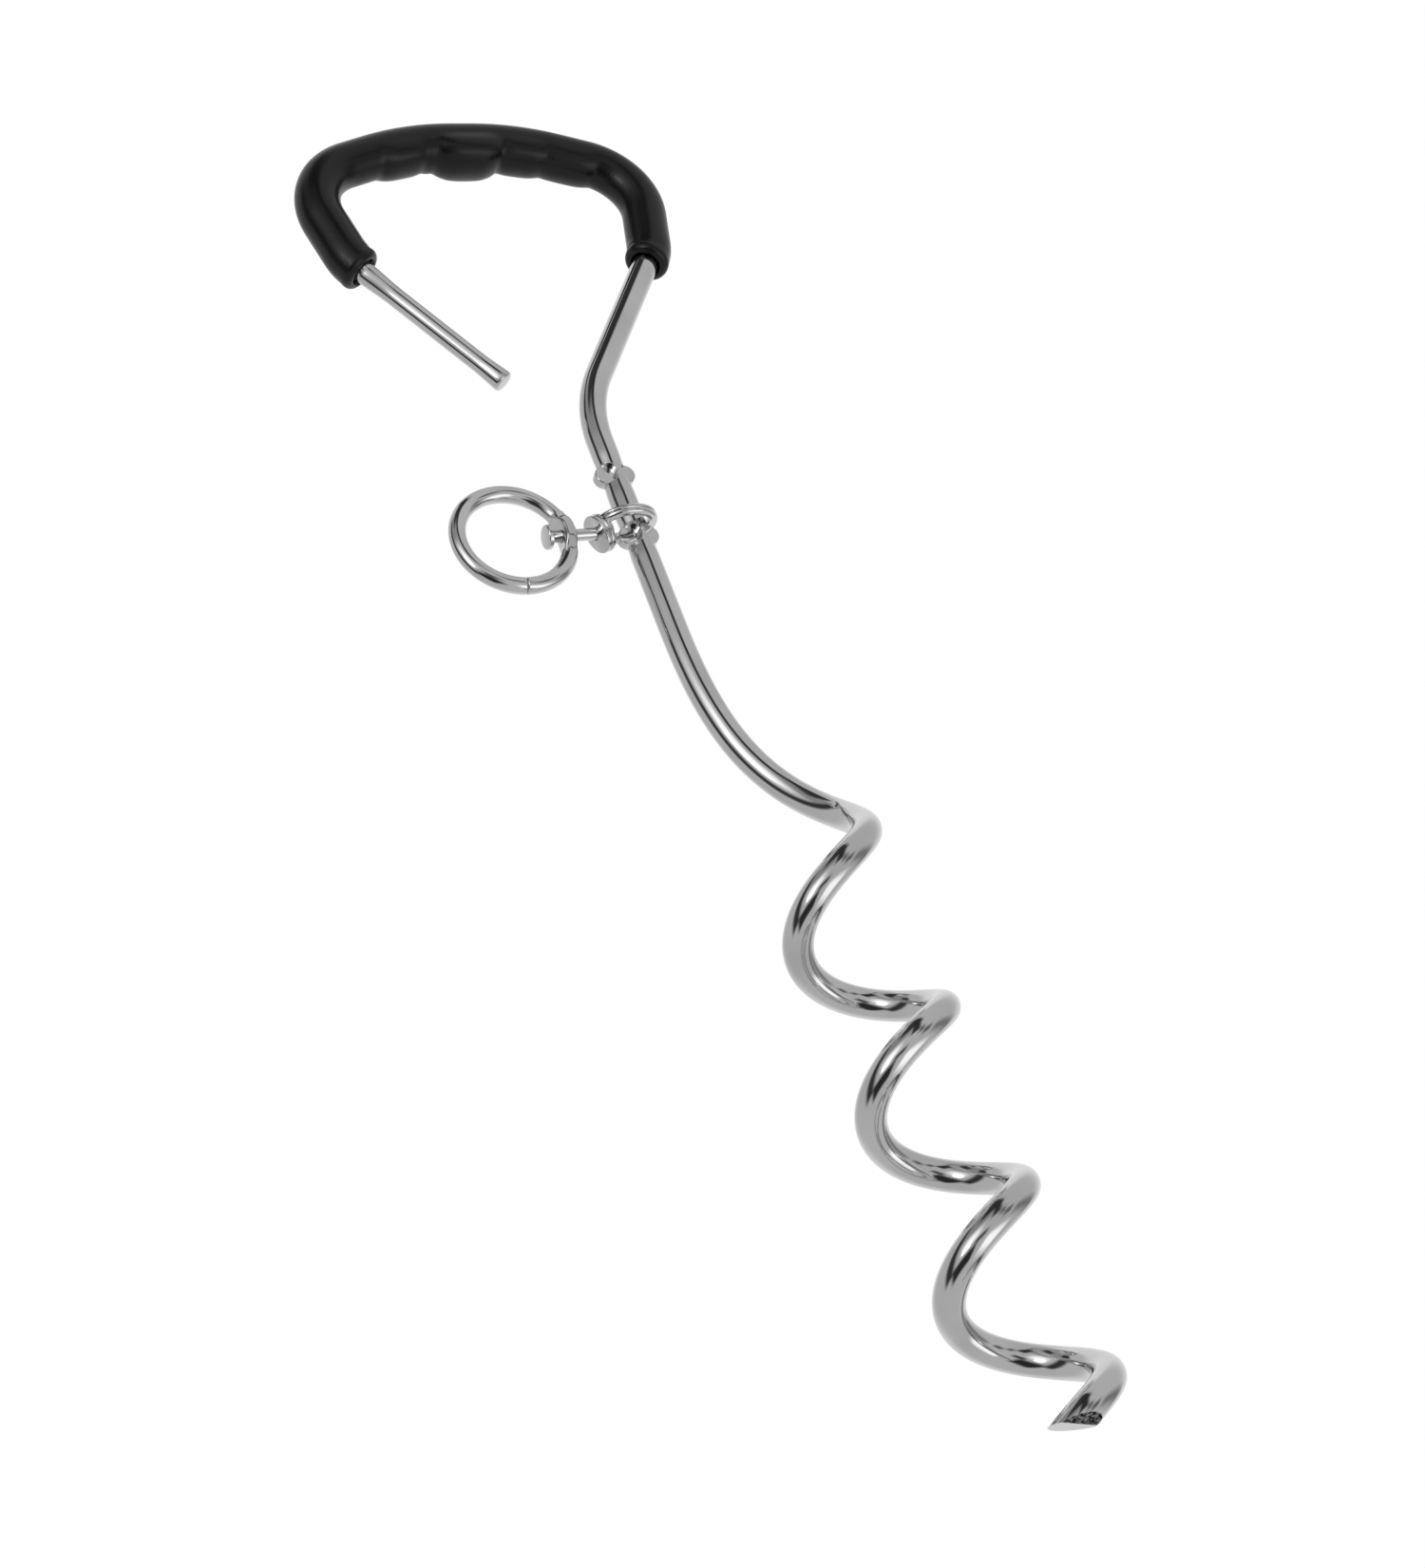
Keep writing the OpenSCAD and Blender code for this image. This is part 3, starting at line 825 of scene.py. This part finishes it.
def grip_skin(stations, sides):
    """As skin(), but open ended, and the line doubles back at the mouths, so there the headings come from
    the handle's legs."""
    bm = bmesh.new()
    centres = [c for c, _ in stations]
    rings = []
    for k, (centre, section) in enumerate(stations):
        if (centre - GRIP_B).length < MOUTH_RUN:
            tangent = -FREE_DIR
        elif (centre - GRIP_A).length < MOUTH_RUN:
            tangent = FIXED_DIR
        else:
            tangent = (centres[k + 1] - centres[k - 1]).normalized()
        inner = Vector((0.0, 1.0, 0.0)).cross(tangent)
        if inner.dot(upright(HANDLE_SHIFT, 150.0) - centre) < 0.0:
            inner = -inner
        ring = []
        for n in range(sides):
            across, through = section(2.0 * math.pi * n / sides)
            ring.append(bm.verts.new((centre + inner * across + Vector((0.0, through, 0.0))) * MM))
        rings.append(ring)
    join_rings(bm, rings)
    return bm


def strap_section():
    """The collar's strap: a soft-edged bar with a shallow groove along its outer side."""
    squareness = 2.6
    groove_deep = 0.3
    groove_half = 0.13
    groove_at = 0.1
    out = []
    count = 40
    for k in range(count):
        a = 2.0 * math.pi * (k + 0.5) / count
        across, up = squared(a, squareness)
        groove = 0.0
        for place in (groove_at, groove_at + 2.0 * math.pi):
            groove += groove_deep * math.exp(-((a - place) / groove_half) ** 2)
        out.append((across * STRAP_T / 2.0 - groove, up * STRAP_H / 2.0))
    return out


def make_collar_eye():
    """The strap, bent into an eye that touches the lug's middle and just clears the shaft's far side."""
    lug_x = LUG_FACE + LUG_PLATE_T / 2.0
    eye_r = (lug_x + ROD_R + COLLAR_GAP + STRAP_T / 2.0) / 2.0
    middle = Vector((lug_x - eye_r, 0.0, PIN_Z + COLLAR_RISE))
    turn = Matrix.Rotation(-COLLAR_ROLL, 3, "X")
    bm, grain = grained()
    rings = []
    count = 120
    outline = strap_section()
    for k in range(count):
        a = 2.0 * math.pi * k / count
        out = Vector((math.cos(a), math.sin(a), 0.0))
        centre = middle + turn @ (out * eye_r)
        ring = []
        for across, up in outline:
            offset = turn @ (out * across + Vector((0.0, 0.0, up)))
            vert = bm.verts.new((centre + offset) * MM)
            vert[grain] = Vector((across, up, a * eye_r)) * MM
            ring.append(vert)
        rings.append(ring)
    join_rings(bm, rings, loop=True)
    piece("collar_eye", bm, "collar", [FITTING_STEEL], ("collar",))


def make_collar_lug():
    """The flat pierced lug: two layers with a seam between them, leaning once clear of the pin's hole."""
    half = LUG_PLATE_T / 2.0
    soft = 0.45
    seam_half = 0.2
    level_run = 2.2
    outline = rounded([
        (-half, HOLE_R),
        (-half, PLATE_HALF_H),
        (-seam_half, PLATE_HALF_H),
        (0.0, PLATE_HALF_H - soft),
        (seam_half, PLATE_HALF_H),
        (half, PLATE_HALF_H),
        (half, HOLE_R),
    ], soft)
    bm, rings = turned([(p.x, p.y) for p in outline], 72, Vector((0.0, 0.0, 0.0)))
    place = Vector((LUG_FACE + half, 0.0, PIN_Z))
    for vert in bm.verts:
        co = vert.co / MM
        away = blend((math.hypot(co.y, co.z) - HOLE_R) / level_run)
        lean = Matrix.Rotation(PLATE_LEAN * away, 3, "Y")
        co.y *= 1.0 + (PLATE_HALF_W / PLATE_HALF_H - 1.0) * away
        vert.co = (place + lean @ co) * MM
    join_rings(bm, rings, loop=True)
    piece("collar_lug", bm, "collar", [FITTING_STEEL], (), 50.0)


def make_pin():
    """A round seat behind the collar's lug, a shank through the lug and the ring, and an outer head."""
    soft = 0.45
    middle_r = 0.02
    quarter = [k / 4.0 * math.pi / 2.0 for k in range(5)]
    face = LUG_FACE - PIN_PLAY
    seat = face - PIN_SEAT_T
    end = PIN_REACH + PIN_HEAD_T
    profile = [(seat, middle_r), (seat, PIN_HEAD_R - soft)]
    for a in quarter[1:]:
        profile.append((seat + soft * (1.0 - math.cos(a)), PIN_HEAD_R - soft + soft * math.sin(a)))
    profile += [(face, PIN_HEAD_R), (face, PIN_R)]
    profile += [(LUG_FACE + along, PIN_R) for along in (1.0, 5.0, 10.0)]
    # the shank swells under the head, and the head's inner rim is eased
    profile += [(PIN_REACH - 0.5, PIN_R), (PIN_REACH, PIN_R + 0.35)]
    profile += [(PIN_REACH + 0.05, PIN_HEAD_R - 0.3), (PIN_REACH + 0.3, PIN_HEAD_R)]
    for a in quarter:
        profile.append((end - soft * (1.0 - math.sin(a)), PIN_HEAD_R - soft * (1.0 - math.cos(a))))
    profile.append((end, middle_r))
    bm = capped(profile, 56, Vector((0.0, 0.0, PIN_Z)))
    piece("headed_pin", bm, "pin", [FITTING_STEEL], ("pin",), 35.0)


def ring_section(turned_from_pin):
    """Half thickness and half width of the ring's wire at an angle from the pin, and how flat it is pressed."""
    flat_edge = 3.2
    wide_past = 1.0
    wide_run = 5.0
    along = abs(turned_from_pin) * RING_R
    flat = 1.0 - blend((along - RING_FLAT_HALF_L + flat_edge / 2.0) / flat_edge)
    wide = flat * blend((RING_FLAT_HALF_L + wide_past - along) / wide_run)
    half_t = RING_WIRE_R + (RING_FLAT_HALF_T - RING_WIRE_R) * flat
    half_w = RING_WIRE_R + (RING_FLAT_HALF_W - RING_WIRE_R) * wide
    return half_t, half_w, flat


def ring_spans():
    """Angles round the ring from one side of its seam to the other, each with how much the section shrinks:
    the wire's two ends are softened where they butt."""
    count = 260
    end_step = 0.006
    seam = [(RING_SEAM_HALF_GAP + k * end_step, shrink) for k, shrink in enumerate((0.25, 0.1, 0.02))]
    start = RING_SEAM_HALF_GAP + len(seam) * end_step
    run = 2.0 * math.pi - 2.0 * start
    spans = seam + [(start + run * k / count, 0.0) for k in range(count + 1)]
    return spans + [(2.0 * math.pi - a, shrink) for a, shrink in reversed(seam)]


def make_ring():
    """The tether ring: round wire with a butt seam, pressed flat and pierced where the pin goes through."""
    bm, grain = grained()
    middle = Vector((RING_MID_X, 0.0, PIN_Z))
    sides = 40
    rings = []
    for a, shrink in ring_spans():
        place = RING_SEAM_DIR + a
        out = Vector((math.cos(place), 0.0, math.sin(place)))
        # the pin is at half a turn, so this runs from minus half a turn to half a turn with 0 at the pin
        from_pin = place % (2.0 * math.pi) - math.pi
        half_t, half_w, flat = ring_section(from_pin)
        power = 2.0 + 5.0 * flat
        ring = []
        for n in range(sides):
            b = 2.0 * math.pi * n / sides
            across, through = squared(b, power)
            offset = out * (across * (half_t - shrink) - RING_SET * flat)
            offset = offset + Vector((0.0, through * (half_w - shrink), 0.0))
            vert = bm.verts.new((middle + out * RING_R + offset) * MM)
            vert[grain] = Vector((math.cos(b) * half_t, math.sin(b) * half_w, a * RING_R)) * MM
            ring.append(vert)
        rings.append(ring)
    join_rings(bm, rings)
    close_ends(bm, rings)
    ring = piece("tether_ring", bm, "ring", [FITTING_STEEL], ("ring",), 45.0)
    drill_half = 6.0
    drill = [(-drill_half, HOLE_R), (drill_half, HOLE_R)]
    carve(ring, [(capped(drill, 40, Vector((RING_FLAT_X, 0.0, PIN_Z))), "DIFFERENCE")], 45.0)


make_rod()
make_grip()
make_collar_eye()
make_collar_lug()
make_pin()
make_ring()


# ---------------------------------------------------------------- floor, light and camera

def make_floor():
    """A wide pale floor just under the tip. It is only there from above, so a low camera sees past it."""
    low = cad_box[0].z - 1.0 * MM
    half = 3.0
    corners = [(-half, -half, low), (half, -half, low), (half, half, low), (-half, half, low)]
    mesh = bpy.data.meshes.new("floor")
    mesh.from_pydata(corners, [], [(0, 1, 2, 3)])
    floor = bpy.data.objects.new("floor", mesh)
    bpy.context.scene.collection.objects.link(floor)
    material = bpy.data.materials.new("pale_floor")
    tree = node_tree(material)
    paint = add(tree, "ShaderNodeBsdfDiffuse")
    paint.inputs["Color"].default_value = grey(0.8)
    clear = add(tree, "ShaderNodeBsdfTransparent")
    side = add(tree, "ShaderNodeNewGeometry").outputs["Backfacing"]
    mix = add(tree, "ShaderNodeMixShader")
    tree.links.new(side, mix.inputs[0])
    tree.links.new(paint.outputs[0], mix.inputs[1])
    tree.links.new(clear.outputs[0], mix.inputs[2])
    out = add(tree, "ShaderNodeOutputMaterial")
    tree.links.new(mix.outputs[0], out.inputs["Surface"])
    mesh.materials.append(material)
    # bright metal mirrors the studio's low flags and soft box, which stand where the floor would hide them
    floor.visible_glossy = False


# The studio round the object: soft boxes, grey walls and dark flags, each as
# (heading, height, half width, half height, softness, tone), in degrees seen from the object.
# Later ones lie in front.
WALL_TONE = 0.60
STUDIO = [
    ("pale backdrop", 243, 30, 44, 70, 22, 0.88),
    ("key soft box", 46, 11, 16, 12, 12, 1.6),
    ("lamp in the key soft box", 38, 0, 7, 7, 5, 6.0),
    ("low soft box", 130, -48, 33, 13, 9, 1.5),
    ("upper grey wall", 42, 54, 38, 21, 7, 0.33),
    ("ceiling flag", 76, 68, 32, 19, 6, 0.045),
    ("upright flag", 91, 46, 10, 26, 5, 0.035),
    ("leaning flag high", 106, 13, 6, 9, 5, 0.16),
    ("leaning flag low", 122, -3, 9, 8, 6, 0.14),
    ("low grey wall", 172, -12, 30, 9, 9, 0.24),
    ("side flag", 1, 18, 12, 46, 7, 0.045),
    ("floor flag", 38, -38, 29, 18, 7, 0.03),
    ("floor flag end", 72, -14, 13, 7, 6, 0.06),
]


def studio_piece_group():
    """One soft-edged panel of the studio, as a mask over headings and heights."""
    group, entry, leave = new_group(
        "studio_piece",
        [(label, "NodeSocketFloat", 0.0) for label in (
            "Heading", "Height", "Middle Heading", "Middle Height", "Half Width", "Half Height", "Softness")],
        [("Mask", "NodeSocketFloat")],
    )
    get = entry.outputs
    turn = add(group, "ShaderNodeMath", operation="WRAP")
    group.links.new(maths(group, "SUBTRACT", get["Heading"], get["Middle Heading"]), turn.inputs[0])
    turn.inputs[1].default_value = 180.0
    turn.inputs[2].default_value = -180.0
    sides = []
    rise = maths(group, "SUBTRACT", get["Height"], get["Middle Height"])
    for away, half in ((turn.outputs[0], get["Half Width"]), (rise, get["Half Height"])):
        inner = maths(group, "SUBTRACT", half, get["Softness"])
        outer = maths(group, "ADD", half, get["Softness"])
        sides.append(remap(group, maths(group, "ABSOLUTE", away), inner, outer, 1.0, 0.0))
    group.links.new(maths(group, "MULTIPLY", sides[0], sides[1]), leave.inputs["Mask"])
    return group


def make_studio():
    world = bpy.data.worlds.new("studio")
    bpy.context.scene.world = world
    world.use_nodes = True
    tree = world.node_tree
    tree.nodes.clear()
    way = add(tree, "ShaderNodeSeparateXYZ")
    tree.links.new(add(tree, "ShaderNodeTexCoord").outputs["Generated"], way.inputs[0])
    heading = maths(tree, "DEGREES", maths(tree, "ARCTAN2", way.outputs["Y"], way.outputs["X"]))
    height = maths(tree, "DEGREES", maths(tree, "ARCSINE", way.outputs["Z"]))
    group = studio_piece_group()
    tone = WALL_TONE
    for label, middle, up, half_w, half_h, soft, level in STUDIO:
        panel = use_group(
            tree, group, Heading=heading, Height=height,
            Middle_Heading=float(middle), Middle_Height=float(up),
            Half_Width=float(half_w), Half_Height=float(half_h), Softness=float(soft))
        panel.label = label
        mix = add(tree, "ShaderNodeMix", data_type="FLOAT")
        plug(tree, panel.outputs["Mask"], mix.inputs[0])
        plug(tree, tone, mix.inputs[2])
        plug(tree, level, mix.inputs[3])
        tone = mix.outputs[0]
    # the camera sees plain white, and the object is lit by the studio
    seen = add(tree, "ShaderNodeBackground")
    seen.inputs["Color"].default_value = grey(1.0)
    lit = add(tree, "ShaderNodeBackground")
    lit.inputs["Color"].default_value = grey(1.0)
    tree.links.new(tone, lit.inputs["Strength"])
    path = add(tree, "ShaderNodeLightPath")
    choose = add(tree, "ShaderNodeMixShader")
    tree.links.new(path.outputs["Is Camera Ray"], choose.inputs[0])
    tree.links.new(lit.outputs[0], choose.inputs[1])
    tree.links.new(seen.outputs[0], choose.inputs[2])
    out = add(tree, "ShaderNodeOutputWorld")
    tree.links.new(choose.outputs[0], out.inputs["Surface"])


def make_camera():
    data = bpy.data.cameras.new("camera")
    data.lens = 62.34
    data.sensor_width = 36.0
    data.clip_start = 0.01
    camera = bpy.data.objects.new("camera", data)
    bpy.context.scene.collection.objects.link(camera)
    right = Vector((-0.89704, 0.30465, -0.32016))
    up = Vector((-0.10596, 0.55504, 0.82505))
    back = right.cross(up).normalized()
    up = back.cross(right).normalized()
    turn = Matrix((right.normalized(), up, back)).transposed()
    camera.matrix_world = Matrix.Translation((0.31580, 0.55855, -0.38901)) @ turn.to_4x4()
    bpy.context.scene.camera = camera


make_floor()
make_studio()
make_camera()
bpy.context.scene.view_settings.view_transform = "Standard"
